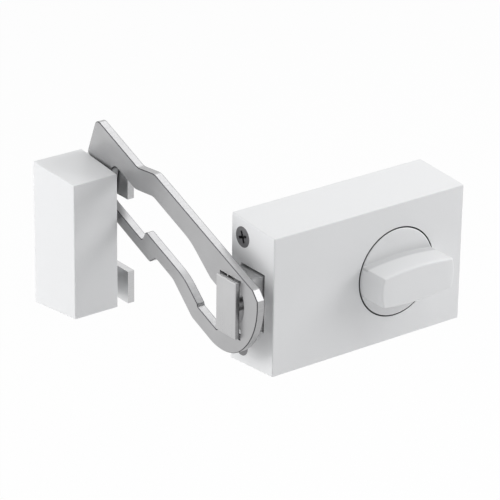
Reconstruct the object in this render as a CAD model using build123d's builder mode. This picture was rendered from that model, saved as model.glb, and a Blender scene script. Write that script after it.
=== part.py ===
from build123d import *
import math
import os

os.makedirs("parts", exist_ok=True)

# A surface-mounted rim lock with a hinged restrictor bow, shown with the door ajar.
# Origin: knob axis on the door's surface. +X points away from the bolt, +Y into the door, +Z up.

# Case
case_length = 93.0
case_height = 57.4
case_depth = 26.4
case_flare = 2.03
case_wall = 2.5
case_edge = 0.5
backset = 60.0

# Clearances
cover_gap = 0.3
running_gap = 0.2
pin_fit = 0.05
bolt_gap = 0.6
strike_bolt_gap = 1.0
guide_gap = 0.3
window_gap = 0.4
disc_gap = 0.6
hub_gap = 0.5
rail_gap = 0.5
bridge_gap = 0.5
base_play = 0.5
boss_gap = 0.95
edge_reach = 0.1
cut_over = 1.0

# Base plate and what stands on it
base_thick = 2.0
base_corner = 2.0
cylinder_hole = 26.0
door_screw_hole = 5.2
door_screw_inset = 7.7
door_screw_rise = 42.0
flange_thick = 2.0
ear_half_height = 9.0
ear_reach = 12.0
hook_half_height = 3.5
hook_depth = 2.0
hook_reach = 7.0
tenon_height = 5.0

# End screws
screw_thread = 4.0
screw_head = 8.4
screw_length = 8.0
screw_setback = 6.6
screw_inset = 6.0
recess_width = 1.1
recess_span = 5.0
recess_depth = 1.6
recess_turn = 20.0

# Bolt
bolt_width = 13.7
bolt_height = 22.8
bolt_setback = 13.1
bolt_start = 7.0
bolt_length = 44.0
bolt_edge = 0.4
head_width = 12.1
head_shift = -0.4
head_drop = 0.2
head_height = 23.2
head_thick = 2.1
head_edge = 0.3
neck_diameter = 5.0
neck_drop = 1.0
spigot_diameter = 4.0
spigot_length = 9.0
hard_pin_diameter = 3.0
hard_pin_length = 34.0
hard_pin_offset = 7.0

# Rack and pinion
tooth_module = 1.0
tooth_count = 16
tooth_play = 0.38
tooth_slope = 20.0
tooth_deepness = 1.25
rack_first_tooth = -5.5
rack_teeth = 8
rack_tooth_root = 1.3
pinion_tooth_root = 1.6
pinion_root_flare = 0.11
rack_bar_height = 6.0
rack_width = 8.0
rack_start = -30.0
rack_end = 8.0
gear_width = 8.2
gear_drop = 0.4
hub_diameter = 12.0
hub_length = 3.8
clip_thick = 1.0
clip_bite = 0.75
clip_rim = 1.6
tail_slot_width = 2.4
tail_slot_span = 9.0
tail_slot_depth = 3.0

# Guide bridge, rack rail and pinion bridge
guide_thick = 3.0
guide_middle = 34.5
guide_half_height = 19.0
rail_thick = 2.0
rail_length = 36.0
rail_middle = -2.0
bridge_thick = 2.0
bridge_half_width = 9.5
bridge_leg = 1.7

# Knob
disc_radius = 18.1
disc_proud = 0.35
disc_flange_rim = 2.2
disc_flange_thick = 1.5
knob_hub_diameter = 14.0
grip_height = 12.1
grip_barrel = 1.4
grip_proud = 13.6
grip_edge = 0.5
spindle_square = 7.0
spindle_front_cover = 2.0
spindle_seat = 1.2
retainer_margin = 4.0
retainer_thick = 1.5
retainer_corner = 4.0
boss_diameter = 6.0
retainer_screw_thread = 3.0
retainer_screw_head = 5.4
retainer_head_height = 2.0

# Strike
frame_level = 85.9
strike_setback = 0.25
strike_height = 57.5
strike_top_flare = 1.85
strike_near = 11.9
strike_far = 32.4
strike_near_flare = 0.97
strike_far_flare = 1.6
strike_wall = 2.2
strike_edge = 0.5
bracket_thick = 3.0
inner_flange_thick = 2.0
inner_flange_place = 14.4
inner_flange_half_height = 25.5
tab_thick = 3.0
tab_near = 4.0
tab_height = 12.0
tab_low_height = 14.2
frame_screw_hole = 5.2
frame_screw_spread = 40.0
frame_screw_place = 24.5
cover_screw_thread = 3.0
cover_screw_head = 5.5
cover_screw_inset = 9.25
cover_screw_setback = 5.6
cover_recess_span = 3.2
cover_recess_width = 0.8
cover_recess_depth = 1.0

# Bow and its pivot
bow_thick = 3.6
bow_near = 7.2
bow_tilt = 21.7
bow_chamfer = 0.3
pivot_depth = 15.1
pivot_height = 22.45
pivot_diameter = 5.0
pivot_head = 9.0
pivot_head_thick = 1.4
pivot_head_edge = 0.56
bush_diameter = 8.0
bow_eye_radius = 7.6

# Bow outline, along and across it from the pivot
bow_back_edge = -10.1
bow_back_low = 4.7
bow_back_high = 22.1
hump_foot = 20.6
hump_top = 30.6
bow_high_edge = 27.2
nose_corner = 99.3
nose_shoulder = 103.4
nose_shoulder_level = 25.0
nose_reach = 106.5
nose_middle = 11.1
nose_chin = 102.6
nose_chin_level = -2.2
nose_jaw = 95.2
nose_jaw_level = -8.8
nose_start = 84.6
bow_low_edge = -11.1
ramp_low = 73.0
ramp_high = 57.0
waist_level = -5.1
waist_end = 44.6
heel_start = 41.8
heel_level = -9.5
heel_end = 9.6
corner_sharp = 0.4
corner_small = 1.5
corner_middle = 3.0
corner_large = 6.0
corner_sweep = 24.0

# Slot outline, measured in the same way
slot_back = 6.2
slot_back_high = 12.4
slot_rise_start = 22.4
slot_rise_end = 33.4
slot_high = 17.9
slot_fall_start = 60.1
slot_fall_end = 76.4
slot_outer_high = 12.8
slot_outer_end = 87.6
slot_outer_reach = 91.1
slot_outer_middle = 1.1
slot_outer_low = -4.2
slot_notch_low = 74.5
slot_notch_high = 73.6
slot_notch_level = -3.2
slot_low_end = 62.1
slot_low = 0.8
slot_low_start = 34.9
slot_heel = 34.3
slot_heel_level = -4.45
slot_heel_end = 9.1
bulge_half_height = 6.4
bulge_depth = 2.0
bulge_rise = 1.5

# Places worked out from the sizes above
case_end = -backset
case_middle = case_end + case_length / 2
case_far_end = case_end + case_length
case_back_height = case_height + 2 * case_flare
cover_inner_front = case_depth - case_wall
flange_half_height = case_height / 2 - case_wall - running_gap
screw_spread = case_height - 2 * screw_inset
cover_screw_spread = strike_height - 2 * cover_screw_inset
base_length = case_length - 2 * case_wall - 2 * cover_gap
base_height = case_back_height - 2 * case_wall - 2 * cover_gap - 2 * base_play
flange_near = case_end + case_wall + running_gap
ear_near = case_far_end - case_wall - running_gap - flange_thick
sink_depth = (screw_head - screw_thread) / 2
bolt_middle = case_depth - bolt_setback
bolt_y = -bolt_middle
bolt_left = case_end - bolt_start
pitch_radius = tooth_module * tooth_count / 2
tooth_pitch = math.pi * tooth_module
tooth_thick = tooth_pitch / 2 - tooth_play
tooth_taper = 2 * tooth_module * math.tan(math.radians(tooth_slope))
root_spread = rack_tooth_root * math.tan(math.radians(tooth_slope))
tooth_depth = tooth_deepness * tooth_module
gear_back = bolt_middle - gear_width / 2 - gear_drop
disc_back = cover_inner_front - running_gap
flange_rim_radius = disc_radius + disc_flange_rim
bridge_front = gear_back - running_gap
bridge_half_height = cylinder_hole / 2 + bridge_gap + bridge_leg
retainer_screw_place = (flange_rim_radius + boss_gap + boss_diameter / 2) / math.sqrt(2)
retainer_side = 2 * (retainer_screw_place + retainer_margin)
retainer_front = disc_back - disc_flange_thick - running_gap
retainer_back = retainer_front - retainer_thick
rail_level = pitch_radius + tooth_depth + rack_bar_height + guide_gap
rail_reach = retainer_back - retainer_head_height - rail_gap - base_thick
bow_x = case_end - bow_near
strike_depth = case_depth - strike_setback
strike_back = frame_level
strike_front = strike_back - strike_depth
door_gap = strike_front + case_depth
pivot_y = strike_front + pivot_depth
bracket_front = strike_back - bracket_thick
inner_flange_x = case_end - inner_flange_place
closed_bolt_y = bolt_y + door_gap
tab_x = case_end - tab_near


def front(depth):
    # Plane parallel to the door, the given depth in front of its surface.
    return Plane.XZ.offset(depth)


def side(x):
    # Plane across the bolt's axis, facing +X, with Y across and Z up.
    return Plane.YZ.offset(x)


def facing_bolt(x, y, z):
    # Plane at a point, facing -X.
    return Plane(origin=(x, y, z), x_dir=(0, -1, 0), z_dir=(-1, 0, 0))


def facing_away(x, y, z):
    # Plane at a point, facing +X.
    return Plane(origin=(x, y, z), x_dir=(0, 1, 0), z_dir=(1, 0, 0))


# Case cover: five walls, flared towards the door at top and bottom
with BuildPart() as case_cover:
    with BuildSketch(front(0)):
        with Locations((case_middle, 0)):
            Rectangle(case_length, case_back_height)
    with BuildSketch(front(case_depth)):
        with Locations((case_middle, 0)):
            Rectangle(case_length, case_height)
    loft()
    fillet(case_cover.edges().filter_by_position(Axis.Y, -case_depth, -edge_reach), case_edge)
    with BuildSketch(front(0)):
        with Locations((case_middle, 0)):
            Rectangle(case_length - 2 * case_wall, case_back_height - 2 * case_wall)
    with BuildSketch(front(cover_inner_front)):
        with Locations((case_middle, 0)):
            Rectangle(case_length - 2 * case_wall, case_height - 2 * case_wall)
    loft(mode=Mode.SUBTRACT)
    # Bosses for the retainer's screws
    with BuildSketch(front(cover_inner_front)):
        with GridLocations(2 * retainer_screw_place, 2 * retainer_screw_place, 2, 2):
            Circle(boss_diameter / 2)
    extrude(amount=-(disc_flange_thick + 2 * running_gap))
    with BuildSketch(front(cover_inner_front - disc_flange_thick - 2 * running_gap)):
        with GridLocations(2 * retainer_screw_place, 2 * retainer_screw_place, 2, 2):
            Circle(retainer_screw_thread / 2 + pin_fit)
    extrude(amount=disc_flange_thick + 2 * running_gap + case_wall / 2, mode=Mode.SUBTRACT)
    # Round hole for the knob's disc
    with BuildSketch(front(case_depth)):
        Circle(disc_radius + disc_gap)
    extrude(amount=-case_wall, mode=Mode.SUBTRACT)
    # Bolt opening and the two countersunk holes beside it
    with BuildSketch(side(case_end)):
        with Locations((bolt_y, 0)):
            Rectangle(bolt_width + 2 * bolt_gap, bolt_height + 2 * bolt_gap)
    extrude(amount=case_wall, mode=Mode.SUBTRACT)
    for level in (-screw_spread / 2, screw_spread / 2):
        with BuildSketch(facing_bolt(case_end, -screw_setback, level)):
            Circle(screw_head / 2 + pin_fit)
        with BuildSketch(facing_bolt(case_end + sink_depth, -screw_setback, level)):
            Circle(screw_thread / 2 + pin_fit)
        loft(mode=Mode.SUBTRACT)
        with BuildSketch(facing_bolt(case_end + case_wall, -screw_setback, level)):
            Circle(screw_thread / 2 + pin_fit)
        extrude(amount=case_wall, mode=Mode.SUBTRACT)
    # Rib that hooks into the base plate's ear
    with BuildSketch(side(case_far_end - case_wall / 2)):
        with Locations((-hook_reach, 0)):
            Rectangle(hook_depth, 2 * hook_half_height)
    extrude(amount=-(case_wall + flange_thick) / 2 - running_gap)

# Base plate on the door
with BuildPart() as base_plate:
    with BuildSketch(front(0)):
        with Locations((case_middle, 0)):
            RectangleRounded(base_length, base_height, base_corner)
            with GridLocations(base_length - 2 * door_screw_inset, door_screw_rise, 2, 2):
                Circle(door_screw_hole / 2, mode=Mode.SUBTRACT)
        Circle(cylinder_hole / 2, mode=Mode.SUBTRACT)
    extrude(amount=base_thick)
    # Notches at the ends and slots between them for the tenons of what stands on the plate
    with BuildSketch(front(0)):
        with Locations((flange_near + flange_thick / 2, 0)):
            with GridLocations(1, 2 * flange_half_height - tenon_height, 1, 2):
                Rectangle(flange_thick + 2 * pin_fit, tenon_height + 2 * pin_fit)
        with Locations((ear_near + flange_thick / 2, 0)):
            with GridLocations(1, 2 * ear_half_height - tenon_height, 1, 2):
                Rectangle(flange_thick + 2 * pin_fit, tenon_height + 2 * pin_fit)
        with Locations((-guide_middle, 0)):
            with GridLocations(1, 2 * guide_half_height - tenon_height, 1, 2):
                Rectangle(guide_thick + 2 * pin_fit, tenon_height + 2 * pin_fit)
        with Locations((rail_middle, rail_level + rail_thick / 2)):
            with GridLocations(rail_length - 2 * tenon_height, 1, 2, 1):
                Rectangle(tenon_height + 2 * pin_fit, rail_thick + 2 * pin_fit)
        with GridLocations(1, 2 * bridge_half_height - bridge_leg, 1, 2):
            Rectangle(tenon_height + 2 * pin_fit, bridge_leg + 2 * pin_fit)
    extrude(amount=base_thick, mode=Mode.SUBTRACT)

# End flange: upright plate behind the cover's end wall, with the bolt's window and the end screws' holes
with BuildPart() as end_flange:
    with BuildSketch(side(flange_near)):
        with Locations((-(cover_inner_front - running_gap + base_thick) / 2, 0)):
            Rectangle(cover_inner_front - running_gap - base_thick, 2 * flange_half_height)
        with Locations((-base_thick / 2, 0)):
            with GridLocations(1, 2 * flange_half_height - tenon_height, 1, 2):
                Rectangle(base_thick, tenon_height)
        with Locations((bolt_y, 0)):
            Rectangle(bolt_width + 2 * guide_gap, bolt_height + 2 * guide_gap, mode=Mode.SUBTRACT)
        with Locations((-screw_setback, 0)):
            with GridLocations(1, screw_spread, 1, 2):
                Circle(screw_thread / 2 + pin_fit, mode=Mode.SUBTRACT)
    extrude(amount=flange_thick)

# Hook ear: upright plate at the far end that the cover's rib hooks into
with BuildPart() as hook_ear:
    with BuildSketch(side(ear_near)):
        with Locations((-(ear_reach + base_thick) / 2, 0)):
            Rectangle(ear_reach - base_thick, 2 * ear_half_height)
        with Locations((-base_thick / 2, 0)):
            with GridLocations(1, 2 * ear_half_height - tenon_height, 1, 2):
                Rectangle(base_thick, tenon_height)
        with Locations((-hook_reach, 0)):
            Rectangle(hook_depth + 2 * cover_gap, 2 * hook_half_height + 2 * cover_gap, mode=Mode.SUBTRACT)
    extrude(amount=flange_thick)

# Two countersunk screws hold the cover to the flange
with BuildPart() as end_screws:
    for level in (-screw_spread / 2, screw_spread / 2):
        with BuildSketch(Plane(origin=(case_end, -screw_setback, level), x_dir=(0, 1, 0), z_dir=(0, 0, 1))):
            with BuildLine():
                Polyline(
                    (0, 0),
                    (screw_head / 2, 0),
                    (screw_thread / 2, -sink_depth),
                    (screw_thread / 2, -screw_length),
                    (0, -screw_length),
                    close=True,
                )
            make_face()
        revolve(axis=Axis((case_end, -screw_setback, level), (1, 0, 0)))
        with BuildSketch(facing_bolt(case_end, -screw_setback, level)):
            Rectangle(recess_span, recess_width, rotation=recess_turn)
            Rectangle(recess_width, recess_span, rotation=recess_turn)
        extrude(amount=-recess_depth, mode=Mode.SUBTRACT)

# Guide bridge: a plate across the case with a window that carries the bolt
with BuildPart() as guide_bridge:
    with BuildSketch(side(-guide_middle - guide_thick / 2)):
        with Locations((-(cover_inner_front - cover_gap + base_thick) / 2, 0)):
            Rectangle(cover_inner_front - cover_gap - base_thick, 2 * guide_half_height)
        with Locations((-base_thick / 2, 0)):
            with GridLocations(1, 2 * guide_half_height - tenon_height, 1, 2):
                Rectangle(base_thick, tenon_height)
        with Locations((bolt_y, 0)):
            Rectangle(bolt_width + 2 * guide_gap, bolt_height + 2 * guide_gap, mode=Mode.SUBTRACT)
    extrude(amount=guide_thick)

# Rack rail: a strip above the rack that keeps it on the pinion
with BuildPart() as rack_rail:
    with BuildSketch(Plane.XY.offset(rail_level)):
        with Locations((rail_middle, -(base_thick + rail_reach / 2))):
            Rectangle(rail_length, rail_reach)
        with Locations((rail_middle, -base_thick / 2)):
            with GridLocations(rail_length - 2 * tenon_height, 1, 2, 1):
                Rectangle(tenon_height, base_thick)
    extrude(amount=rail_thick)

# Pinion bridge: bearing for the pinion's rear hub, standing over the cylinder hole
with BuildPart() as pinion_bridge:
    with BuildSketch(front(bridge_front - bridge_thick)):
        Rectangle(2 * bridge_half_width, 2 * bridge_half_height)
        Circle(hub_diameter / 2 + pin_fit, mode=Mode.SUBTRACT)
    extrude(amount=bridge_thick)
    with BuildSketch(front(base_thick)):
        with GridLocations(1, 2 * bridge_half_height - bridge_leg, 1, 2):
            Rectangle(2 * bridge_half_width, bridge_leg)
    extrude(amount=bridge_front - bridge_thick - base_thick)
    with BuildSketch(front(0)):
        with GridLocations(1, 2 * bridge_half_height - bridge_leg, 1, 2):
            Rectangle(tenon_height, bridge_leg)
    extrude(amount=base_thick)

# Bolt body with the rack arm above the pinion
with BuildPart() as bolt_body:
    with BuildSketch(side(bolt_left)):
        with Locations((bolt_y, 0)):
            Rectangle(bolt_width, bolt_height)
    extrude(amount=bolt_length)
    chamfer(bolt_body.faces().sort_by(Axis.X)[0].edges(), bolt_edge)
    with BuildSketch(front(bolt_middle - rack_width / 2)):
        with Locations(((rack_start + rack_end) / 2, pitch_radius + tooth_depth + rack_bar_height / 2)):
            Rectangle(rack_end - rack_start, rack_bar_height)
        for number in range(rack_teeth):
            with Locations(((rack_first_tooth + number) * tooth_pitch, pitch_radius)):
                Polygon(
                    (-tooth_thick / 2 + tooth_taper / 2, -tooth_module),
                    (tooth_thick / 2 - tooth_taper / 2, -tooth_module),
                    (tooth_thick / 2 + root_spread, rack_tooth_root),
                    (-tooth_thick / 2 - root_spread, rack_tooth_root),
                    align=None,
                )
    extrude(amount=rack_width)
    # Bore for the head's spigot and two long bores for the hardened pins
    with BuildSketch(side(bolt_left)):
        with Locations((bolt_y, -neck_drop)):
            Circle(spigot_diameter / 2 + pin_fit)
    extrude(amount=spigot_length + pin_fit, mode=Mode.SUBTRACT)
    with BuildSketch(side(bolt_left + bolt_length)):
        with Locations((bolt_y, 0)):
            with GridLocations(1, 2 * hard_pin_offset, 1, 2):
                Circle(hard_pin_diameter / 2 + pin_fit)
    extrude(amount=-hard_pin_length, mode=Mode.SUBTRACT)

# Bolt head: the plate in front of the bow, with its neck and spigot
with BuildPart() as bolt_head:
    with BuildSketch(side(bow_x - bow_thick - running_gap - head_thick)):
        with Locations((bolt_y + head_shift, -head_drop)):
            Rectangle(head_width, head_height)
    extrude(amount=head_thick)
    chamfer(bolt_head.faces().sort_by(Axis.X)[0].edges(), head_edge)
    with BuildSketch(side(bow_x - bow_thick - running_gap)):
        with Locations((bolt_y, -neck_drop)):
            Circle(neck_diameter / 2)
    extrude(amount=bolt_left - bow_x + bow_thick + running_gap)
    with BuildSketch(side(bolt_left)):
        with Locations((bolt_y, -neck_drop)):
            Circle(spigot_diameter / 2)
    extrude(amount=spigot_length)

# Two hardened pins inside the bolt, against sawing
with BuildPart() as hardened_pins:
    with BuildSketch(side(bolt_left + bolt_length)):
        with Locations((bolt_y, 0)):
            with GridLocations(1, 2 * hard_pin_offset, 1, 2):
                Circle(hard_pin_diameter / 2)
    extrude(amount=-hard_pin_length)


# Knob: a disc just proud of the case and a grip right across it, with bulging long sides and round ends
knob_hub_back = gear_back + gear_width + hub_gap
grip_level = grip_height / 2
grip_bulge = grip_level + grip_barrel
with BuildPart() as knob:
    with BuildSketch(front(disc_back)):
        Circle(disc_radius)
    extrude(amount=case_depth + disc_proud - disc_back)
    with BuildSketch(front(case_depth)):
        Circle(disc_radius)
        with BuildLine():
            Line((-disc_radius, -grip_level), (-disc_radius, grip_level))
            ThreePointArc((-disc_radius, grip_level), (0, grip_bulge), (disc_radius, grip_level))
            Line((disc_radius, grip_level), (disc_radius, -grip_level))
            ThreePointArc((disc_radius, -grip_level), (0, -grip_bulge), (-disc_radius, -grip_level))
        make_face(mode=Mode.INTERSECT)
    extrude(amount=grip_proud)
    fillet(knob.faces().sort_by(Axis.Y)[0].edges(), grip_edge)
    # Flange behind the cover and hub with a square socket
    with BuildSketch(front(disc_back)):
        Circle(flange_rim_radius)
    extrude(amount=-disc_flange_thick)
    with BuildSketch(front(knob_hub_back)):
        Circle(knob_hub_diameter / 2)
        Rectangle(spindle_square + 2 * pin_fit, spindle_square + 2 * pin_fit, mode=Mode.SUBTRACT)
    extrude(amount=disc_back - disc_flange_thick - knob_hub_back)
    with BuildSketch(front(disc_back - disc_flange_thick)):
        Rectangle(spindle_square + 2 * pin_fit, spindle_square + 2 * pin_fit)
    extrude(amount=case_depth - spindle_front_cover - disc_back + disc_flange_thick, mode=Mode.SUBTRACT)

# Knob retainer: a plate screwed to the cover's bosses behind the disc's flange
with BuildPart() as knob_retainer:
    with BuildSketch(front(retainer_front)):
        RectangleRounded(retainer_side, retainer_side, retainer_corner)
        Circle(knob_hub_diameter / 2 + running_gap, mode=Mode.SUBTRACT)
        with GridLocations(2 * retainer_screw_place, 2 * retainer_screw_place, 2, 2):
            Circle(retainer_screw_thread / 2 + pin_fit, mode=Mode.SUBTRACT)
    extrude(amount=-retainer_thick)

# Four screws of the retainer
with BuildPart() as retainer_screws:
    with BuildSketch(front(retainer_back)):
        with GridLocations(2 * retainer_screw_place, 2 * retainer_screw_place, 2, 2):
            Circle(retainer_screw_head / 2)
    extrude(amount=-retainer_head_height)
    with BuildSketch(front(retainer_back)):
        with GridLocations(2 * retainer_screw_place, 2 * retainer_screw_place, 2, 2):
            Circle(retainer_screw_thread / 2)
    extrude(amount=retainer_thick + disc_flange_thick + 2 * running_gap)

# Square drive spindle from the knob to the pinion
spindle_end = gear_back + spindle_seat
with BuildPart() as drive_spindle:
    with BuildSketch(front(spindle_end)):
        Rectangle(spindle_square, spindle_square)
    extrude(amount=case_depth - spindle_front_cover - spindle_end)

# Pinion: toothed wheel, square hole, rear hub with a slot for the cylinder's tail bar
hub_back = gear_back - hub_length
with BuildPart() as pinion:
    with BuildSketch(front(gear_back)):
        Circle(pitch_radius - tooth_depth)
        with PolarLocations(0, tooth_count, start_angle=90):
            Polygon(
                (pitch_radius - pinion_tooth_root, -tooth_thick / 2 - pinion_root_flare),
                (pitch_radius, -tooth_thick / 2),
                (pitch_radius + tooth_module, -tooth_thick / 2 + tooth_taper / 2),
                (pitch_radius + tooth_module, tooth_thick / 2 - tooth_taper / 2),
                (pitch_radius, tooth_thick / 2),
                (pitch_radius - pinion_tooth_root, tooth_thick / 2 + pinion_root_flare),
                align=None,
            )
    extrude(amount=gear_width)
    with BuildSketch(front(gear_back)):
        Circle(hub_diameter / 2)
    extrude(amount=-hub_length)
    with BuildSketch(front(spindle_end)):
        Rectangle(spindle_square + 2 * pin_fit, spindle_square + 2 * pin_fit)
    extrude(amount=gear_width, mode=Mode.SUBTRACT)
    with BuildSketch(front(hub_back)):
        Rectangle(tail_slot_width, tail_slot_span)
    extrude(amount=tail_slot_depth, mode=Mode.SUBTRACT)
    # Groove for the retaining clip
    groove_front = bridge_front - bridge_thick - running_gap
    with BuildSketch(front(groove_front - clip_thick)):
        Circle(hub_diameter / 2)
        Circle(hub_diameter / 2 - clip_bite, mode=Mode.SUBTRACT)
    extrude(amount=clip_thick, mode=Mode.SUBTRACT)

# Clip that keeps the pinion in its bridge
with BuildPart() as pinion_clip:
    with BuildSketch(front(groove_front - clip_thick)):
        Circle(hub_diameter / 2 + clip_rim)
        Circle(hub_diameter / 2 - clip_bite + pin_fit, mode=Mode.SUBTRACT)
        with Locations((0, -hub_diameter / 2)):
            Rectangle(hub_diameter / 2, hub_diameter, mode=Mode.SUBTRACT)
    extrude(amount=clip_thick)

# Strike cover: box on the frame, open at the back and towards the bracket's tabs
strike_near_x = case_end - strike_near
strike_far_x = case_end - strike_far
strike_top = strike_height / 2


def strike_outline(inset, flare):
    # Rectangle of the strike at one depth: flare 0 at the front and 1 at the back.
    near_x = strike_near_x + flare * strike_near_flare - inset
    far_x = strike_far_x - flare * strike_far_flare + inset
    half_height = strike_top + flare * strike_top_flare - inset
    with Locations(((near_x + far_x) / 2, 0)):
        Rectangle(near_x - far_x, 2 * half_height)


inner_share = strike_wall / strike_depth
cover_screw_y = strike_front + cover_screw_setback
cover_screw_x = strike_near_x + strike_near_flare * cover_screw_setback / strike_depth - cover_gap
cover_sink_depth = (cover_screw_head - cover_screw_thread) / 2
with BuildPart() as strike_cover:
    with BuildSketch(front(-strike_back)):
        strike_outline(0, 1)
    with BuildSketch(front(-strike_front)):
        strike_outline(0, 0)
    loft()
    before_back = strike_back - edge_reach
    outer_edges = strike_cover.edges().filter_by_position(Axis.Y, strike_front - edge_reach, before_back)
    fillet(outer_edges, strike_edge)
    with BuildSketch(front(-strike_back)):
        strike_outline(strike_wall, 1)
    with BuildSketch(front(-strike_front - strike_wall)):
        strike_outline(strike_wall, inner_share)
    loft(mode=Mode.SUBTRACT)
    # Bolt window, pivot hole and screw holes in the wall beside the bow
    with BuildSketch(side(strike_near_x - strike_wall - cut_over)):
        with Locations((closed_bolt_y, 0)):
            Rectangle(bolt_width + 2 * strike_bolt_gap, bolt_height + 2 * strike_bolt_gap)
        with Locations((pivot_y, pivot_height)):
            Circle(pivot_diameter / 2 + cover_gap)
        # Passages for the bracket's base under the two tabs
        with Locations((strike_back - bracket_thick / 2, strike_top - tab_height / 2)):
            Rectangle(bracket_thick + 2 * running_gap, tab_height + 2 * running_gap)
        with Locations((strike_back - bracket_thick / 2, tab_low_height / 2 - strike_top)):
            Rectangle(bracket_thick + 2 * running_gap, tab_low_height + 2 * running_gap)
    extrude(amount=strike_wall + strike_near_flare + 2 * cut_over, mode=Mode.SUBTRACT)
    for level in (-cover_screw_spread / 2, cover_screw_spread / 2):
        with BuildSketch(facing_away(strike_near_x + strike_near_flare, cover_screw_y, level)):
            Circle(cover_screw_head / 2 + pin_fit)
        extrude(amount=-(strike_near_x + strike_near_flare - cover_screw_x), mode=Mode.SUBTRACT)
        with BuildSketch(facing_away(cover_screw_x, cover_screw_y, level)):
            Circle(cover_screw_head / 2 + pin_fit)
        with BuildSketch(facing_away(cover_screw_x - cover_sink_depth, cover_screw_y, level)):
            Circle(cover_screw_thread / 2 + pin_fit)
        loft(mode=Mode.SUBTRACT)
        with BuildSketch(facing_away(cover_screw_x, cover_screw_y, level)):
            Circle(cover_screw_thread / 2 + pin_fit)
        extrude(amount=-2 * strike_wall, mode=Mode.SUBTRACT)

# Strike bracket: base on the frame, two tabs outside the bow and a flange inside the cover
base_share = 1 - bracket_thick / strike_depth
base_half_height = strike_top + base_share * strike_top_flare - strike_wall - cover_gap
base_outer = strike_near_x + strike_near_flare + cover_gap
with BuildPart() as strike_bracket:
    with BuildSketch(front(-strike_back)):
        base_far = strike_far_x + strike_wall + cover_gap
        with Locations(((base_far + tab_x) / 2, 0)):
            Rectangle(tab_x - base_far, 2 * base_half_height)
        with Locations(((base_outer + tab_x) / 2, 0)):
            Rectangle(tab_x - base_outer, 2 * (strike_top - cover_gap))
        notch_far = strike_near_x - strike_wall
        notch_low = tab_low_height - strike_top
        notch_high = strike_top - tab_height
        with Locations(((notch_far + tab_x) / 2, (notch_low + notch_high) / 2)):
            Rectangle(tab_x - notch_far, notch_high - notch_low, mode=Mode.SUBTRACT)
        with Locations((case_end - frame_screw_place, 0)):
            with GridLocations(1, frame_screw_spread, 1, 2):
                Circle(frame_screw_hole / 2, mode=Mode.SUBTRACT)
    extrude(amount=bracket_thick)
    with BuildSketch(side(tab_x - tab_thick)):
        tab_middle = (strike_front + bracket_front) / 2
        with Locations((tab_middle, strike_top - cover_gap - (tab_height - cover_gap) / 2)):
            Rectangle(bracket_front - strike_front, tab_height - cover_gap)
        with Locations((tab_middle, cover_gap - strike_top + (tab_low_height - cover_gap) / 2)):
            Rectangle(bracket_front - strike_front, tab_low_height - cover_gap)
        with Locations((pivot_y, pivot_height)):
            Circle(pivot_diameter / 2 + pin_fit, mode=Mode.SUBTRACT)
    extrude(amount=tab_thick)
    with BuildSketch(side(inner_flange_x - inner_flange_thick)):
        inner_front = strike_front + strike_wall + cover_gap
        with Locations(((inner_front + bracket_front) / 2, 0)):
            Rectangle(bracket_front - inner_front, 2 * inner_flange_half_height)
        with Locations((closed_bolt_y, 0)):
            window_size = (bolt_width + 2 * strike_bolt_gap, bolt_height + 2 * strike_bolt_gap)
            Rectangle(*window_size, mode=Mode.SUBTRACT)
        with Locations((pivot_y, pivot_height)):
            Circle(pivot_diameter / 2 + pin_fit, mode=Mode.SUBTRACT)
        with Locations((strike_front + cover_screw_setback, 0)):
            with GridLocations(1, cover_screw_spread, 1, 2):
                Circle(cover_screw_thread / 2 + pin_fit, mode=Mode.SUBTRACT)
    extrude(amount=inner_flange_thick)

# Two countersunk screws hold the strike cover to the inner flange
cover_screw_length = cover_screw_x - inner_flange_x + inner_flange_thick + cover_gap
with BuildPart() as cover_screws:
    for level in (-cover_screw_spread / 2, cover_screw_spread / 2):
        screw_place = (cover_screw_x, cover_screw_y, level)
        with BuildSketch(Plane(origin=screw_place, x_dir=(0, 1, 0), z_dir=(0, 0, 1))):
            with BuildLine():
                Polyline(
                    (0, 0),
                    (cover_screw_head / 2, 0),
                    (cover_screw_thread / 2, cover_sink_depth),
                    (cover_screw_thread / 2, cover_screw_length),
                    (0, cover_screw_length),
                    close=True,
                )
            make_face()
        revolve(axis=Axis(screw_place, (1, 0, 0)))
        with BuildSketch(facing_away(cover_screw_x, cover_screw_y, level)):
            Rectangle(cover_recess_span, cover_recess_width)
            Rectangle(cover_recess_width, cover_recess_span)
        extrude(amount=-cover_recess_depth, mode=Mode.SUBTRACT)

# Pivot pin: head outside the upper tab, groove and clip inside the cover
pin_end = inner_flange_x - inner_flange_thick - running_gap - 2 * clip_thick
with BuildPart() as pivot_pin:
    with BuildSketch(side(pin_end)):
        with Locations((pivot_y, pivot_height)):
            Circle(pivot_diameter / 2)
    extrude(amount=tab_x - pin_end)
    with BuildSketch(side(tab_x)):
        with Locations((pivot_y, pivot_height)):
            Circle(pivot_head / 2)
    extrude(amount=pivot_head_thick)
    fillet(pivot_pin.faces().sort_by(Axis.X)[-1].edges(), pivot_head_edge)
    with BuildSketch(side(pin_end + clip_thick)):
        with Locations((pivot_y, pivot_height)):
            Circle(pivot_diameter / 2)
            Circle(pivot_diameter / 2 - clip_bite, mode=Mode.SUBTRACT)
    extrude(amount=clip_thick, mode=Mode.SUBTRACT)

with BuildPart() as pivot_clip:
    with BuildSketch(side(pin_end + clip_thick)):
        with Locations((pivot_y, pivot_height)):
            Circle(pivot_diameter / 2 + clip_rim)
            Circle(pivot_diameter / 2 - clip_bite + pin_fit, mode=Mode.SUBTRACT)
        with Locations((pivot_y, pivot_height - pivot_diameter / 2)):
            Rectangle(pivot_diameter / 2, pivot_diameter, mode=Mode.SUBTRACT)
    extrude(amount=clip_thick)

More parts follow.
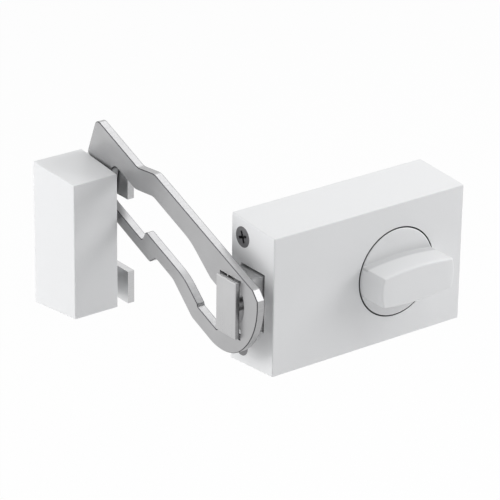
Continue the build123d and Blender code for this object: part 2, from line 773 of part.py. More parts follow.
# Bow, drawn from its pivot: x along the bow to its round end, y across it
tilt = math.radians(bow_tilt)
bow_plane = Plane(
    origin=(bow_x, pivot_y, pivot_height),
    x_dir=(0, -math.cos(tilt), -math.sin(tilt)),
    z_dir=(-1, 0, 0),
)
with BuildPart() as bow:
    with BuildSketch(bow_plane):
        with BuildLine():
            FilletPolyline(
                (nose_start, bow_low_edge),
                (ramp_low, bow_low_edge),
                (ramp_high, waist_level),
                (waist_end, waist_level),
                (heel_start, heel_level),
                (heel_end, heel_level),
                (bow_eye_radius / 2, -bow_eye_radius / 2),
                (-bow_eye_radius / 2, bow_eye_radius / 2),
                (bow_back_edge, bow_back_low),
                (bow_back_edge, bow_back_high),
                (hump_foot, bow_back_high),
                (hump_top, bow_high_edge),
                (nose_corner, bow_high_edge),
                (nose_shoulder, nose_shoulder_level),
                radius=[
                    corner_large,
                    corner_large,
                    corner_small,
                    corner_small,
                    corner_small,
                    corner_sharp,
                    corner_sharp,
                    corner_small,
                    corner_middle,
                    corner_large,
                    corner_large,
                    corner_small,
                ],
            )
            ThreePointArc(
                (nose_shoulder, nose_shoulder_level),
                (nose_reach, nose_middle),
                (nose_chin, nose_chin_level),
            )
            ThreePointArc(
                (nose_chin, nose_chin_level),
                (nose_jaw, nose_jaw_level),
                (nose_start, bow_low_edge),
            )
        make_face()
        Circle(bow_eye_radius)
        with BuildLine():
            FilletPolyline(
                (slot_back, slot_back_high),
                (slot_rise_start, slot_back_high),
                (slot_rise_end, slot_high),
                (slot_fall_start, slot_high),
                (slot_fall_end, slot_outer_high),
                (slot_outer_end, slot_outer_high),
                (slot_outer_reach, slot_outer_middle),
                (slot_outer_end, slot_outer_low),
                (slot_notch_low, slot_outer_low),
                (slot_notch_high, slot_notch_level),
                (slot_low_end, slot_low),
                (slot_low_start, slot_low),
                (slot_heel, slot_heel_level),
                (slot_heel_end, slot_heel_level),
                radius=[
                    corner_middle,
                    corner_large,
                    corner_large,
                    corner_sweep,
                    corner_large,
                    corner_sharp,
                    corner_sharp,
                    corner_small,
                    corner_sharp,
                    corner_sharp,
                    corner_sweep,
                    corner_small,
                    corner_small,
                    corner_middle,
                ],
                close=True,
            )
        make_face(mode=Mode.SUBTRACT)
        Circle(bush_diameter / 2 + pin_fit, mode=Mode.SUBTRACT)
    extrude(amount=bow_thick)
    # Window at the round end, upright while the bow is tilted, with a bulge at its front
    with BuildSketch(side(bow_x)):
        with Locations((bolt_y + head_shift, -head_drop)):
            Rectangle(head_width + 2 * window_gap, head_height + 2 * window_gap)
        with BuildLine():
            window_front = bolt_y + head_shift - head_width / 2 - window_gap
            ThreePointArc(
                (window_front, bulge_rise - bulge_half_height),
                (window_front - bulge_depth, bulge_rise),
                (window_front, bulge_rise + bulge_half_height),
            )
            Line(
                (window_front, bulge_rise + bulge_half_height),
                (window_front, bulge_rise - bulge_half_height),
            )
        make_face()
    extrude(amount=-bow_thick, mode=Mode.SUBTRACT)
    chamfer(bow.faces().filter_by(Axis.X).edges(), bow_chamfer)

# Bush pressed into the bow's eye
with BuildPart() as bow_bush:
    with BuildSketch(bow_plane):
        Circle(bush_diameter / 2)
        Circle(pivot_diameter / 2 + pin_fit, mode=Mode.SUBTRACT)
    extrude(amount=bow_thick)

pieces = {
    "case_cover": case_cover,
    "base_plate": base_plate,
    "end_flange": end_flange,
    "hook_ear": hook_ear,
    "end_screws": end_screws,
    "guide_bridge": guide_bridge,
    "rack_rail": rack_rail,
    "pinion_bridge": pinion_bridge,
    "knob_retainer": knob_retainer,
    "retainer_screws": retainer_screws,
    "bolt_body": bolt_body,
    "bolt_head": bolt_head,
    "hardened_pins": hardened_pins,
    "knob": knob,
    "drive_spindle": drive_spindle,
    "pinion": pinion,
    "pinion_clip": pinion_clip,
    "strike_cover": strike_cover,
    "strike_bracket": strike_bracket,
    "cover_screws": cover_screws,
    "pivot_pin": pivot_pin,
    "pivot_clip": pivot_clip,
    "bow": bow,
    "bow_bush": bow_bush,
}
for piece_name, piece in pieces.items():
    piece.part.label = piece_name
    export_step(piece.part, f"parts/{piece_name}.step")
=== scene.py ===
import itertools
import math

import bmesh
import bpy
from mathutils import Matrix, Vector


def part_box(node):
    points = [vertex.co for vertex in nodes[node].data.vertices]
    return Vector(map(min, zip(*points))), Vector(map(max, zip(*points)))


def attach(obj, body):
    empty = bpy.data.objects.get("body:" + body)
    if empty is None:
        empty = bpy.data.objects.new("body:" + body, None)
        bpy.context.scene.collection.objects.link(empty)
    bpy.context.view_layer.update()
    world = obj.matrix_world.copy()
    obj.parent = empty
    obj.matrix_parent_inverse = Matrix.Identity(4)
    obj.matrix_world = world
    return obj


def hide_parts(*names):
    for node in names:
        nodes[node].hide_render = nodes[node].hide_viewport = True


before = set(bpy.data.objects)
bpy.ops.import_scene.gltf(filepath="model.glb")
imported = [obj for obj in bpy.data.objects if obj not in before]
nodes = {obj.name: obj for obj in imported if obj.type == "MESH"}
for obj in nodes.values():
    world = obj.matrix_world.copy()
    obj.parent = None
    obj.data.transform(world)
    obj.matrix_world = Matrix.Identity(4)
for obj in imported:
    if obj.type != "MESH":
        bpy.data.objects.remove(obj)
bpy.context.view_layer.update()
mm = 0.001
print("frame loaded:", len(nodes), "nodes")


class Signal:
    # an output socket of a node tree; sums with it add Math nodes
    def __init__(self, tree, socket=None):
        self.tree = tree
        self.socket = socket

    def node(self, kind, settings=None, values=None, output=0):
        # any node: its settings first, then the values or links of its sockets
        made = self.tree.nodes.new(kind)
        for name, value in (settings or {}).items():
            setattr(made, name, value)
        for name, value in (values or {}).items():
            for each in value if isinstance(value, list) else [value]:
                if isinstance(each, Signal):
                    self.tree.links.new(each.socket, made.inputs[name])
                else:
                    made.inputs[name].default_value = each
        return Signal(self.tree, made.outputs[output]) if made.outputs else made

    def other(self, output):
        # another output of the node that this socket belongs to
        return Signal(self.tree, self.socket.node.outputs[output])

    def maths(self, operation, *terms):
        return self.node("ShaderNodeMath", {"operation": operation}, dict(enumerate(terms)))

    def __add__(self, term):
        return self.maths("ADD", self, term)

    def __radd__(self, term):
        return self.maths("ADD", term, self)

    def __sub__(self, term):
        return self.maths("SUBTRACT", self, term)

    def __rsub__(self, term):
        return self.maths("SUBTRACT", term, self)

    def __mul__(self, term):
        return self.maths("MULTIPLY", self, term)

    def __rmul__(self, term):
        return self.maths("MULTIPLY", term, self)

    def __truediv__(self, term):
        return self.maths("DIVIDE", self, term)

    def __pow__(self, term):
        return self.maths("POWER", self, term)

    def size(self):
        return self.maths("ABSOLUTE", self)

    def held(self):
        # kept between 0 and 1
        return self.maths("MINIMUM", self.maths("MAXIMUM", self, 0.0), 1.0)

    def colours(self, low, high):
        # low where this is 0, high where it is 1
        return self.node("ShaderNodeMix", {"data_type": "RGBA"}, {0: self, 6: low, 7: high}, 2)

    def noise(self, place, scale, detail, rough=0.5):
        values = {"Vector": place, "Scale": scale, "Detail": detail, "Roughness": rough}
        return self.node("ShaderNodeTexNoise", {}, values)

    def stretched(self, place, stretch, turn=(0.0, 0.0, 0.0)):
        values = {"Vector": place, "Rotation": turn, "Scale": stretch}
        return self.node("ShaderNodeMapping", {"vector_type": "POINT"}, values)

    def parts(self, vector):
        # the three numbers of a vector
        first = self.node("ShaderNodeSeparateXYZ", {}, {"Vector": vector}, "X")
        return first, first.other("Y"), first.other("Z")


def shade(colour, share):
    # the colour made lighter or darker by a share
    return tuple(min(1.0, c * (1 + share)) for c in colour[:3]) + (1.0,)


def newMaterial(name):
    material = bpy.data.materials.new(name)
    material.use_nodes = True
    material.node_tree.nodes.clear()
    return material, Signal(material.node_tree)


def closeMaterial(material, start, values):
    surface = start.node("ShaderNodeBsdfPrincipled", {}, values)
    start.node("ShaderNodeOutputMaterial", {}, {"Surface": surface})
    material.diffuse_color = (0.7, 0.7, 0.7, 1.0)
    return material


# enamel on cast zinc: soft orange peel, faint clouds in its tone, raised specks here and there, and where
# asked painted shade at the grip's root and in the gap round the knob
def enamel(name, settings):
    material, start = newMaterial(name)
    place = start.node("ShaderNodeTexCoord", output="Object")
    sideways, level, upward = start.parts(place)
    clouds = start.noise(place, settings["cloudScale"], 3.0)
    peel = start.noise(place, settings["peelScale"], 2.0, 0.4)
    fine = start.noise(place, settings["fineScale"], 2.0, 0.6)
    cells = {"Vector": place, "Scale": settings["speckScale"]}
    specks = start.node("ShaderNodeTexVoronoi", {"feature": "F1"}, cells)
    speck = (1.0 - specks * settings["speckSpread"]).held() ** 3.0
    tone = (clouds - 0.5) * settings["cloudContrast"] + (fine - 0.5) * settings["fineContrast"] + 0.5
    spread = settings["toneSpread"]
    colour = tone.held().colours(shade(settings["colour"], -spread), shade(settings["colour"], spread))
    height = peel + fine * settings["fineHeight"] + speck * settings["speckHeight"]
    bump = start.node(
        "ShaderNodeBump", {}, {"Strength": 1.0, "Distance": settings["peelDepth"], "Height": height}
    )
    rough = (
        settings["roughness"]
        + (clouds - 0.5) * settings["roughClouds"] + (fine - 0.5) * settings["roughFine"]
    )
    if settings["rootPaintedShade"]:
        # painted shade in the corner between the disc and the grip's long sides, stronger above than below
        bulge = sideways * sideways * (knobShape["barrel"] / knobShape["discRadius"] ** 2)
        side = knobShape["height"] / 2 + knobShape["barrel"] - bulge
        above, under = upward - side, upward * -1.0 - side
        aboveSide, underSide = (
            ((gap + settings["rootInset"]) * settings["rootEdge"]).held() for gap in (above, under)
        )
        near = (1.0 - above / settings["rootReach"]).held() ** 2.0 * aboveSide
        deep = ((level + knobShape["face"] + settings["rootRise"]) * settings["rootFade"]).held()
        patchy = settings["rootFill"] + (clouds - 0.5) * 0.5
        paintedRootShade = (near + underSide * settings["rootUnder"]) * deep * patchy * settings["rootPaintedShade"]
        colour = paintedRootShade.held().colours(colour, settings["bareShadeColour"])
    if settings["bareShadeInside"]:
        # painted shade in the gap round the knob: the casting round the knob's axis, behind the front face,
        # coloured near-black as bare metal
        flat = start.node("ShaderNodeVectorMath", {"operation": "MULTIPLY"}, {0: place, 1: (1.0, 0.0, 1.0)})
        radius = start.node("ShaderNodeVectorMath", {"operation": "LENGTH"}, {0: flat}, 1)
        behind = ((level - settings["bareShadeLevel"]) * settings["bareShadeEdge"]).held()
        within = ((settings["bareShadeInside"] - radius) * settings["bareShadeEdge"] * 2.0).held()
        colour = (behind * within).colours(colour, settings["bareShadeColour"])
    return closeMaterial(material, start, {
        "Base Color": colour,
        "Roughness": rough.held(),
        "Normal": bump,
        "IOR": 1.5,
        "Specular IOR Level": settings["gloss"],
    })


# plated steel: rolling grain on the flat faces, shear marks on the cut edges, a dark line on the arrises
def steel(name, settings):
    material, start = newMaterial(name)
    place = start.node("ShaderNodeTexCoord", output="Object")
    rolled = start.stretched(place, settings["grainStretch"], settings["grainTurn"])
    grain = start.noise(rolled, 1.0, 4.0, 0.6)
    clouds = start.noise(place, settings["cloudScale"], 3.0)
    speckle = start.noise(place, settings["speckleScale"], 2.0, 0.7)
    height = grain * settings["grainHeight"] + speckle * settings["speckleHeight"]
    rough = (
        settings["roughness"]
        + (clouds - 0.5) * settings["roughSpread"] + (grain - 0.5) * settings["roughGrain"]
    )
    tone = (
        0.5 + (clouds - 0.5) * settings["cloudContrast"] + (grain - 0.5) * settings["grainContrast"]
        + (speckle - 0.5) * settings["speckleContrast"]
    )
    spread = settings["toneSpread"]
    colour = tone.held().colours(shade(settings["colour"], -spread), shade(settings["colour"], spread))
    if settings["faceAxis"]:
        across = start.parts(place.other("Normal"))["XYZ".index(settings["faceAxis"])].size()
        flat = ((across - settings["flatFrom"]) * settings["flatEdge"]).held()
        fromArris = (across - settings["arrisAt"]).size()
        arris = ((settings["arrisHalf"] - fromArris) * settings["arrisEdge"]).held()
        shear = start.noise(start.stretched(place, settings["shearStretch"]), 1.0, 3.0, 0.6)
        height = height * flat + shear * (1.0 - flat) * settings["shearHeight"]
        rough = rough + (1.0 - flat) * settings["roughCut"]
        edgeTone = (0.5 + (shear - 0.5) * settings["shearContrast"]).held()
        darker, lighter = (shade(settings["edgeColour"], share) for share in settings["edgeSpread"])
        colour = flat.colours(edgeTone.colours(darker, lighter), colour)
        colour = arris.colours(colour, settings["arrisColour"])
        if settings["burrFrom"]:
            # burr along the far side of the cut edges
            past = ((start.parts(place)[0] - settings["burrFrom"]) * settings["burrEdge"]).held()
            burr = past * (1.0 - flat) * (settings["burrFill"] + (shear - 0.5) * settings["burrSpread"])
            colour = burr.held().colours(colour, settings["arrisColour"])
    bump = start.node(
        "ShaderNodeBump", {}, {"Strength": 1.0, "Distance": settings["depth"], "Height": height}
    )
    return closeMaterial(material, start, {
        "Base Color": colour,
        "Metallic": 1.0,
        "Roughness": rough.held(),
        "Normal": bump,
    })


# the knob's sizes, for its tree and for the painted shade at the grip's root
knobShape = {
    "hubRadius": 7.0 * mm, "hubBack": 17.5 * mm, "flangeRadius": 20.3 * mm, "flangeBack": 22.2 * mm,
    "discBack": 23.7 * mm, "discRadius": 18.1 * mm, "face": 26.75 * mm, "rim": 0.4 * mm,
    "height": 12.1 * mm, "barrel": 1.4 * mm, "root": 0.35 * mm, "front": 39.999 * mm, "edge": 0.8 * mm,
    "around": 512, "rows": 5,
}
enamelLook = {
    "colour": (0.80, 0.805, 0.81),
    "roughness": 0.42,
    "gloss": 0.45,
    "cloudScale": 26.0,
    "cloudContrast": 0.35,
    "peelScale": 520.0,
    "peelDepth": 0.012 * mm,
    "fineScale": 2600.0,
    "fineContrast": 0.25,
    "fineHeight": 0.35,
    "toneSpread": 0.06,
    "roughClouds": 0.16,
    "roughFine": 0.10,
    "speckScale": 210.0,
    "speckSpread": 9.0,
    "speckHeight": 0.9,
    "rootPaintedShade": 0.0,
    "rootReach": 5.0 * mm,
    "rootRise": 3.6 * mm,
    "rootUnder": 0.55,
    "rootInset": 0.9 * mm,
    "rootEdge": 3000.0,
    "rootFade": 900.0,
    "rootFill": 0.9,
    # radius of the painted shade in the gap round the knob, 0 for none
    "bareShadeInside": 0.0,
    "bareShadeLevel": -26.15 * mm,
    "bareShadeEdge": 20000.0,
    # near-black colour of the painted shade in the knob's gap and at the grip's root
    "bareShadeColour": (0.10, 0.10, 0.105, 1.0),
}
steelLook = {
    "colour": (0.42, 0.42, 0.425),
    "edgeColour": (0.42, 0.42, 0.425),
    "arrisColour": (0.08, 0.08, 0.085, 1.0),
    "roughness": 0.34,
    "roughSpread": 0.12,
    "roughGrain": 0.10,
    "roughCut": 0.04,
    "toneSpread": 0.10,
    "faceAxis": "X",   # the axis that the flat faces look along
    "flatFrom": 0.84,
    "flatEdge": 10.0,
    "arrisAt": 0.66,
    "arrisHalf": 0.30,
    "arrisEdge": 9.0,
    "cloudScale": 60.0,
    "cloudContrast": 0.8,
    "grainStretch": (500.0, 60.0, 3200.0),
    "grainTurn": (0.0, 0.0, 0.0),
    "grainContrast": 0.35,
    "grainHeight": 0.4,
    "speckleScale": 2300.0,
    "speckleHeight": 0.3,
    "speckleContrast": 0.25,
    "shearStretch": (260.0, 2600.0, 2600.0),
    "shearHeight": 1.0,
    "shearContrast": 1.1,
    "edgeSpread": (-0.14, 0.12),
    "burrFrom": 0.0,
    "burrEdge": 9000.0,
    "burrFill": 0.55,
    "burrSpread": 0.8,
    "depth": 0.006 * mm,
}
boltLook = {
    **steelLook,
    "colour": (0.52, 0.52, 0.525),
    "edgeColour": (0.58, 0.58, 0.585),
    "arrisColour": (0.55, 0.55, 0.555, 1.0),
    "roughness": 0.30,
    "grainStretch": (400.0, 2600.0, 60.0),
}
plateLook = {
    **steelLook,
    "colour": (0.74, 0.745, 0.75),
    "edgeColour": (0.60, 0.60, 0.605),
    "arrisColour": (0.30, 0.30, 0.305, 1.0),
    "roughness": 0.42,
    "cloudScale": 140.0,
    "grainStretch": (60.0, 400.0, 2400.0),
}
finishes = {
    "caseEnamel": enamel("caseEnamel", {**enamelLook, "bareShadeInside": 18.75 * mm}),
    "knobEnamel": enamel("knobEnamel", {
        **enamelLook, "peelScale": 640.0, "roughness": 0.38, "bareShadeInside": 25.0 * mm, "bareShadeLevel": -26.4 * mm,
        # painted shade at the root of the grip
        "rootPaintedShade": 0.26,
    }),
    "strikeEnamel": enamel("strikeEnamel", {**enamelLook, "cloudScale": 31.0}),
    "bowSteel": steel("bowSteel", {
        **steelLook, "grainTurn": (-0.70, 0.0, 0.0), "burrFrom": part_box("bow")[1][0] - 0.55 * mm,
    }),
    "boltSteel": steel("boltSteel", boltLook),
    "bracketSteel": steel("bracketSteel", plateLook),
    "flatSteel": steel("flatSteel", {**plateLook, "faceAxis": "Y"}),
    "railSteel": steel("railSteel", {**plateLook, "faceAxis": "Z"}),
    "screwSteel": steel("screwSteel", {
        **steelLook, "colour": (0.20, 0.20, 0.205), "edgeColour": (0.10, 0.10, 0.10), "roughness": 0.42,
        "arrisColour": (0.16, 0.16, 0.16, 1.0),
    }),
    "hardSteel": steel("hardSteel", {
        **steelLook, "colour": (0.30, 0.30, 0.31), "roughness": 0.30, "faceAxis": None,
    }),
    "blackSteel": steel("blackSteel", {
        **steelLook, "colour": (0.05, 0.05, 0.052), "roughness": 0.38, "faceAxis": None,
    }),
    "gearBrass": steel("gearBrass", {
        **steelLook, "colour": (0.60, 0.44, 0.20), "roughness": 0.36, "faceAxis": None,
    }),
}
print("finishes made:", len(finishes))

wears = {
    "case_cover": "caseEnamel",
    "knob": "knobEnamel",
    "strike_cover": "strikeEnamel",
    "bow": "bowSteel",
    "bow_bush": "gearBrass",
    "bolt_body": "boltSteel",
    "bolt_head": "boltSteel",
    "base_plate": "flatSteel",
    "pinion_bridge": "flatSteel",
    "knob_retainer": "flatSteel",
    "rack_rail": "railSteel",
    "guide_bridge": "bracketSteel",
    "end_flange": "bracketSteel",
    "hook_ear": "bracketSteel",
    "strike_bracket": "bracketSteel",
    "hardened_pins": "hardSteel",
    "pivot_pin": "blackSteel",
    "pivot_clip": "hardSteel",
    "drive_spindle": "hardSteel",
    "pinion_clip": "hardSteel",
    "pinion": "gearBrass",
}
for nodeName, node in nodes.items():
    node.data.materials.clear()
    node.data.materials.append(finishes[wears.get(nodeName, "screwSteel")])


# a grown tree: sockets for its sizes, then a modifier on a mesh of points
def newTree(name, sizes):
    tree = bpy.data.node_groups.new(name, "GeometryNodeTree")
    tree.is_modifier = True
    tree.interface.new_socket("Geometry", in_out="INPUT", socket_type="NodeSocketGeometry")
    tree.interface.new_socket("Geometry", in_out="OUTPUT", socket_type="NodeSocketGeometry")
    for size, kind in sizes.items():
        tree.interface.new_socket(size, in_out="INPUT", socket_type="NodeSocket" + kind)
    return tree, Signal(tree).node("NodeGroupInput", output="Geometry")


def closeTree(start, geometry, material):
    whole = start.node("GeometryNodeRealizeInstances", {}, {"Geometry": geometry})
    clothed = start.node("GeometryNodeSetMaterial", {}, {"Geometry": whole, "Material": material})
    start.node("NodeGroupOutput", {}, {"Geometry": clothed})


def grow(name, tree, points, sizes):
    host = bpy.data.objects.new(name + "Host", bpy.data.meshes.new(name + "Points"))
    host.data.from_pydata(points, [], [])
    bpy.context.scene.collection.objects.link(host)
    modifier = host.modifiers.new("grown", "NODES")
    modifier.node_group = tree
    for item in tree.interface.items_tree:
        if item.in_out == "INPUT" and item.name in sizes:
            modifier[item.identifier] = sizes[item.name]
    plain = bpy.data.meshes.new_from_object(host.evaluated_get(bpy.context.evaluated_depsgraph_get()))
    host.modifiers.remove(modifier)
    bpy.data.objects.remove(host)
    plain.name = name
    plain.shade_smooth()
    plain.set_sharp_from_angle(angle=math.radians(35.0))   # where two faces meet more steeply than this
    piece = bpy.data.objects.new(name, plain)
    bpy.context.scene.collection.objects.link(piece)
    return piece


# machine screw: a sunk or straight head with a cross recess, a core and a real thread
def screwTree(material):
    lengths = ("head", "sink", "rim", "thread", "length", "pitch", "recessSpan", "recessWidth", "recessDepth")
    sizes = {name: "Float" for name in lengths}
    sizes.update({"direction": "Vector", "turn": "Float", "scatter": "Float", "seed": "Int"})
    tree, given = newTree("machineScrew", sizes)
    head, sink, rim, thread, length, pitch, span, width, recess = (given.other(name) for name in lengths)
    headSides, middleSides, coreSides, helixSteps = 64, 24, 32, 28
    middleWidth, middleDepth = 0.86, 2.4   # of the recess's middle, against its bars' width and depth
    ridgeRadius, ridgeInset = 0.52, 0.55   # of the thread's ridge, in pitches

    def lifted(geometry, height):
        place = given.node("ShaderNodeCombineXYZ", {}, {"Z": height})
        return given.node("GeometryNodeTransform", {}, {"Geometry": geometry, "Translation": place})

    cone = given.node("GeometryNodeMeshCone", {}, {
        "Vertices": headSides, "Side Segments": 2, "Radius Top": head * 0.5, "Radius Bottom": thread * 0.5,
        "Depth": sink,
    })
    drum = given.node("GeometryNodeMeshCylinder", {}, {
        "Vertices": headSides, "Radius": head * 0.5, "Depth": rim,
    })
    solidHead = given.node("GeometryNodeMeshBoolean", {"operation": "UNION", "solver": "EXACT"}, {
        "Mesh 2": [lifted(cone, 0.0 - rim - sink), lifted(drum, rim * -0.5)],
    })

    def bar(wide, long):
        size = given.node("ShaderNodeCombineXYZ", {}, {"X": wide, "Y": long, "Z": recess * 2.0})
        return given.node("GeometryNodeMeshCube", {}, {"Size": size})

    middle = given.node("GeometryNodeMeshCylinder", {}, {
        "Vertices": middleSides, "Radius": width * middleWidth, "Depth": recess * middleDepth,
    })
    cut = given.node("GeometryNodeMeshBoolean", {"operation": "DIFFERENCE", "solver": "EXACT"}, {
        "Mesh 1": solidHead, "Mesh 2": [bar(width, span), bar(span, width), middle],
    })
    shank = length - rim - sink
    core = given.node("GeometryNodeMeshCylinder", {}, {
        "Vertices": coreSides, "Radius": thread * 0.5 - pitch * 0.5, "Depth": shank,
    })
    spiralRadius = thread * 0.5 - pitch * ridgeInset
    spiral = given.node("GeometryNodeCurveSpiral", {}, {
        "Resolution": helixSteps, "Rotations": (shank - pitch) / pitch,
        "Start Radius": spiralRadius, "End Radius": spiralRadius, "Height": shank - pitch,
    })
    ridge = given.node("GeometryNodeCurvePrimitiveCircle", {}, {
        "Resolution": 4, "Radius": pitch * ridgeRadius,
    })
    helix = given.node("GeometryNodeCurveToMesh", {}, {
        "Curve": spiral, "Profile Curve": ridge, "Fill Caps": True,
    })
    screw = given.node("GeometryNodeJoinGeometry", {}, {
        "Geometry": [cut, lifted(core, 0.0 - rim - sink - shank * 0.5), lifted(helix, pitch * 0.5 - length)],
    })
    pointing = given.node("FunctionNodeAlignRotationToVector", {"axis": "Z"}, {
        "Vector": given.other("direction"),
    })
    drawn = given.node("FunctionNodeRandomValue", {"data_type": "FLOAT"}, {
        2: -1.0, 3: 1.0, "Seed": given.other("seed"),
    }, 1)
    spin = given.other("turn") + drawn * given.other("scatter")
    twist = given.node("FunctionNodeAxisAngleToRotation", {}, {"Axis": (0.0, 0.0, 1.0), "Angle": spin})
    facing = given.node("FunctionNodeRotateRotation", {"rotation_space": "LOCAL"}, {
        "Rotation": pointing, "Rotate By": twist,
    })
    placed = given.node("GeometryNodeInstanceOnPoints", {}, {
        "Points": given, "Instance": screw, "Rotation": facing,
    })
    closeTree(given, placed, material)
    return tree


endScrew = {
    "head": 8.4 * mm, "sink": 2.1 * mm, "rim": 0.1 * mm, "thread": 4.0 * mm, "length": 8.0 * mm,
    "pitch": 0.7 * mm, "recessSpan": 5.0 * mm, "recessWidth": 1.1 * mm, "recessDepth": 1.6 * mm,
    "direction": (-1.0, 0.0, 0.0), "turn": 0.35, "scatter": 0.0, "seed": 3,
}
coverScrew = {
    "head": 5.5 * mm, "sink": 1.15 * mm, "rim": 0.1 * mm, "thread": 3.0 * mm, "length": 4.6 * mm,
    "pitch": 0.5 * mm, "recessSpan": 3.2 * mm, "recessWidth": 0.8 * mm, "recessDepth": 1.0 * mm,
    "direction": (1.0, 0.0, 0.0), "turn": 0.2, "scatter": 0.5, "seed": 5,
}
retainerScrew = {
    "head": 5.4 * mm, "sink": 0.05 * mm, "rim": 2.0 * mm, "thread": 3.0 * mm, "length": 5.4 * mm,
    "pitch": 0.5 * mm, "recessSpan": 3.2 * mm, "recessWidth": 0.8 * mm, "recessDepth": 1.2 * mm,
    "direction": (0.0, 1.0, 0.0), "turn": 0.2, "scatter": 0.7, "seed": 11,
}
screws = screwTree(finishes["screwSteel"])


# where the heads of a node's screws stand: its box, less half a head, seen along the screws
def screwPlaces(nodeName, settings):
    low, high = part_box(nodeName)
    rows = []
    for axis, share in enumerate(settings["direction"]):
        if share:
            rows.append([high[axis] if share > 0 else low[axis]])
        elif high[axis] - low[axis] < 1.5 * settings["head"]:
            rows.append([(low[axis] + high[axis]) / 2])
        else:
            rows.append([low[axis] + settings["head"] / 2, high[axis] - settings["head"] / 2])
    return list(itertools.product(*rows))


for nodeName, pieceName, body, settings in (
    ("end_screws", "endScrews", "case", endScrew),
    ("cover_screws", "coverScrews", "strike", coverScrew),
    ("retainer_screws", "retainerScrews", "case", retainerScrew),
):
    piece = grow(pieceName, screws, screwPlaces(nodeName, settings), settings)
    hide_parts(nodeName)
    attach(piece, body)
print("screws grown")


# knob: one skin from the hub's back over the flange and the disc, and on over the grip
def knobTree(material):
    sizes = {name: "Int" if name in ("around", "rows") else "Float" for name in knobShape}
    tree, given = newTree("barrelKnob", sizes)
    hubRadius, hubBack, flangeRadius, flangeBack, discBack, discRadius, face = (
        given.other(name)
        for name in ("hubRadius", "hubBack", "flangeRadius", "flangeBack", "discBack", "discRadius", "face")
    )
    rim, height, barrel, root, front, edge = (
        given.other(name) for name in ("rim", "height", "barrel", "root", "front", "edge")
    )
    stages = 12
    cornerBlend, weldReach = 0.3 * mm, 0.002 * mm
    net = given.node("GeometryNodeMeshGrid", {}, {
        "Size X": 1.0, "Size Y": 1.0, "Vertices X": given.other("around") + 1.0,
        "Vertices Y": given.other("rows") * float(stages) + 1.0,
    })
    column, row, _ = given.parts(given.node("GeometryNodeInputPosition"))
    turn = (column + 0.5) * (2 * math.pi)
    travel = (row + 0.5) * float(stages)   # along the outline, from the hub to the grip's end
    share = [(travel - float(stage)).held() for stage in range(stages)]
    across, upward = given.maths("COSINE", turn), given.maths("SINE", turn)

    def swing(stage):
        # sine and one minus cosine of a quarter turn made over one stage
        quarter = share[stage] * (math.pi / 2)
        return given.maths("SINE", quarter), 1.0 - given.maths("COSINE", quarter)

    def gripReach(spread):
        # from the axis to the bulging long side moved out by the spread, and no further than the disc's rim
        level = height * 0.5 + barrel + spread
        bend = across * across * barrel * level * 4.0 / (discRadius * discRadius)
        side = level * 2.0 / (upward.size() + (upward * upward + bend) ** 0.5)
        limit = discRadius + given.maths("MINIMUM", spread, 0.0)
        return given.maths("SMOOTH_MIN", side, limit, cornerBlend)

    rimSine, rimRise = swing(6)
    rootSine, rootRise = swing(8)
    edgeSine, edgeRise = swing(10)
    clear = ((discRadius - gripReach(root)) / rim * 0.5).held()   # 0 where the grip's end is the disc's rim
    discReach = (
        hubRadius * share[0] + (flangeRadius - hubRadius) * share[2] + (discRadius - flangeRadius) * share[4]
        - rim * rimRise * clear
    )
    depth = (
        hubBack + (flangeBack - hubBack) * share[1] + (discBack - flangeBack) * share[3]
        + (face - rim - discBack) * share[5] + rim * rimSine
        + root * rootRise + (front - face - root - edge) * share[9] + edge * edgeSine
    )
    grip = gripReach(root * (1.0 - rootSine) - edge * edgeRise)
    reach = (discReach * (1.0 - share[7]) + grip * share[7]) * (1.0 - share[11])
    position = given.node("ShaderNodeCombineXYZ", {}, {
        "X": across * reach, "Y": depth * -1.0, "Z": upward * reach,
    })
    moved = given.node("GeometryNodeSetPosition", {}, {"Geometry": net, "Position": position})
    closed = given.node("GeometryNodeMergeByDistance", {}, {"Geometry": moved, "Distance": weldReach})
    closeTree(given, closed, material)
    return tree


knobPiece = grow("turnKnob", knobTree(finishes["knobEnamel"]), [(0.0, 0.0, 0.0)], knobShape)
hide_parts("knob")
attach(knobPiece, "knob")
print("knob grown")


# floor, lamps, world and camera
floorLook = {
    "level": -0.20,
    "half": 6.0,
    "colour": (0.86, 0.86, 0.865, 1.0),
    "roughness": 0.9,
    "fibreScale": 300.0,
    "fibreDepth": 0.1 * mm,
    "whiteShare": 0.95,   # of what the camera sees; the rest is the lit paper with the object's shadow
}
lamps = {
    # azimuth from the front towards the right and height, in degrees, then the power and the square's side
    "leftBehind": {"azimuth": -125.0, "height": 8.0, "watts": 3.85, "size": 0.5},
    "left": {"azimuth": -100.0, "height": 32.0, "watts": 3.14, "size": 0.5},
    "frontHigh": {"azimuth": 25.0, "height": 61.0, "watts": 1.65, "size": 0.5},
    "frontLow": {"azimuth": 50.0, "height": 8.0, "watts": 0.6, "size": 0.5},
    "front": {"azimuth": 50.0, "height": 27.0, "watts": 3.05, "size": 0.68},
    "right": {"azimuth": 75.0, "height": 32.0, "watts": 2.7, "size": 0.5},
    "rightBehind": {"azimuth": 123.0, "height": 45.0, "watts": 1.6, "size": 0.5},
}
lampReach = {"aim": (-0.02, 0.02, 0.0), "distance": 1.1}
worldLook = {"level": 0.368, "colour": (0.985, 0.99, 1.0, 1.0)}
white = (1.0, 1.0, 1.0, 1.0)
cameraPlace = {
    "eye": (-0.68056, -0.83009, 0.47607),
    "azimuth": -0.64857,
    "elevation": 0.41856,
    "roll": 0.01408,
    "focalPixels": 2974.0,
    "imagePixels": 500.0,
    "sensor": 36.0,
    "clip": (0.05, 50.0),
}


def seenDirectly(start):
    # 1 for a ray from the camera, also by way of a mirror or through glass
    path = start.node("ShaderNodeLightPath", output="Is Camera Ray")
    return (path + path.other("Is Glossy Ray") + path.other("Is Transmission Ray")).held()


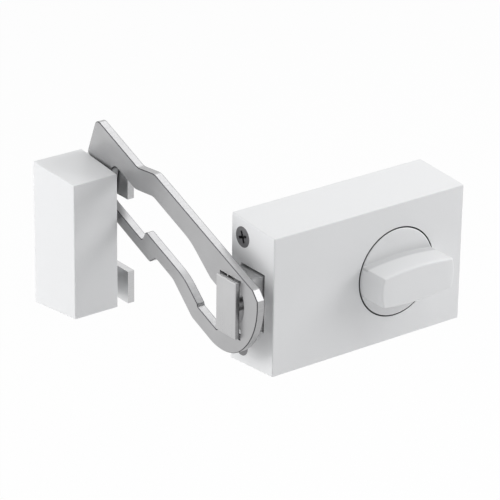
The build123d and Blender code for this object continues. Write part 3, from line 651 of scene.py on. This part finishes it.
def makeFloor(settings):
    mesh = bpy.data.meshes.new("floor")
    net = bmesh.new()
    half = settings["half"]
    corners = ((-half, -half), (half, -half), (half, half), (-half, half))
    net.faces.new([net.verts.new((x, y, settings["level"])) for x, y in corners])
    net.to_mesh(mesh)
    net.free()
    floor = bpy.data.objects.new("floor", mesh)
    bpy.context.scene.collection.objects.link(floor)
    material, start = newMaterial("floorPaper")
    place = start.node("ShaderNodeTexCoord", output="Object")
    fibre = start.noise(place, settings["fibreScale"], 3.0)
    bump = start.node("ShaderNodeBump", {}, {"Distance": settings["fibreDepth"], "Height": fibre})
    paper = start.node("ShaderNodeBsdfPrincipled", {}, {
        "Base Color": settings["colour"], "Roughness": settings["roughness"], "Normal": bump,
    })
    lift = start.node("ShaderNodeEmission", {}, {"Color": white, "Strength": 1.0})
    share = seenDirectly(start) * settings["whiteShare"]
    mixed = start.node("ShaderNodeMixShader", {}, {0: share, 1: paper, 2: lift})
    start.node("ShaderNodeOutputMaterial", {}, {"Surface": mixed})
    mesh.materials.append(material)


def towards(azimuth, height):
    # unit vector, the azimuth counted from the front towards the right
    out = math.cos(height)
    return Vector((math.sin(azimuth) * out, -math.cos(azimuth) * out, math.sin(height)))


def makeLamp(name, settings):
    lamp = bpy.data.lights.new(name, "AREA")
    lamp.shape = "SQUARE"
    lamp.size = settings["size"]
    lamp.energy = settings["watts"]
    outward = towards(math.radians(settings["azimuth"]), math.radians(settings["height"]))
    holder = bpy.data.objects.new(name, lamp)
    holder.location = Vector(lampReach["aim"]) + outward * lampReach["distance"]
    holder.rotation_euler = (-outward).to_track_quat("-Z", "Y").to_euler()
    holder.visible_camera = False
    bpy.context.scene.collection.objects.link(holder)


def makeWorld(settings):
    world = bpy.data.worlds.new("studio")
    bpy.context.scene.world = world
    world.use_nodes = True
    world.node_tree.nodes.clear()
    start = Signal(world.node_tree)
    soft = start.node("ShaderNodeBackground", {}, {
        "Color": settings["colour"], "Strength": settings["level"],
    })
    plain = start.node("ShaderNodeBackground", {}, {"Color": white, "Strength": 1.0})
    mixed = start.node("ShaderNodeMixShader", {}, {0: seenDirectly(start), 1: soft, 2: plain})
    start.node("ShaderNodeOutputWorld", {}, {"Surface": mixed})


def makeCamera(settings):
    azimuth, roll = settings["azimuth"], settings["roll"]
    back = towards(azimuth, settings["elevation"])
    level = Vector((math.cos(azimuth), math.sin(azimuth), 0.0))
    upright = back.cross(level)
    right = level * math.cos(roll) + upright * math.sin(roll)
    up = upright * math.cos(roll) - level * math.sin(roll)
    lens = bpy.data.cameras.new("camera")
    lens.sensor_width = settings["sensor"]
    lens.lens = settings["focalPixels"] * settings["sensor"] / settings["imagePixels"]
    lens.clip_start, lens.clip_end = settings["clip"]
    holder = bpy.data.objects.new("camera", lens)
    turned = Matrix((right, up, back)).transposed().to_4x4()
    holder.matrix_world = Matrix.Translation(settings["eye"]) @ turned
    bpy.context.scene.collection.objects.link(holder)
    bpy.context.scene.camera = holder


makeFloor(floorLook)
for lampName, lampSettings in lamps.items():
    makeLamp(lampName, lampSettings)
makeWorld(worldLook)
makeCamera(cameraPlace)
bpy.context.scene.view_settings.view_transform = "Standard"
print("studio ready")
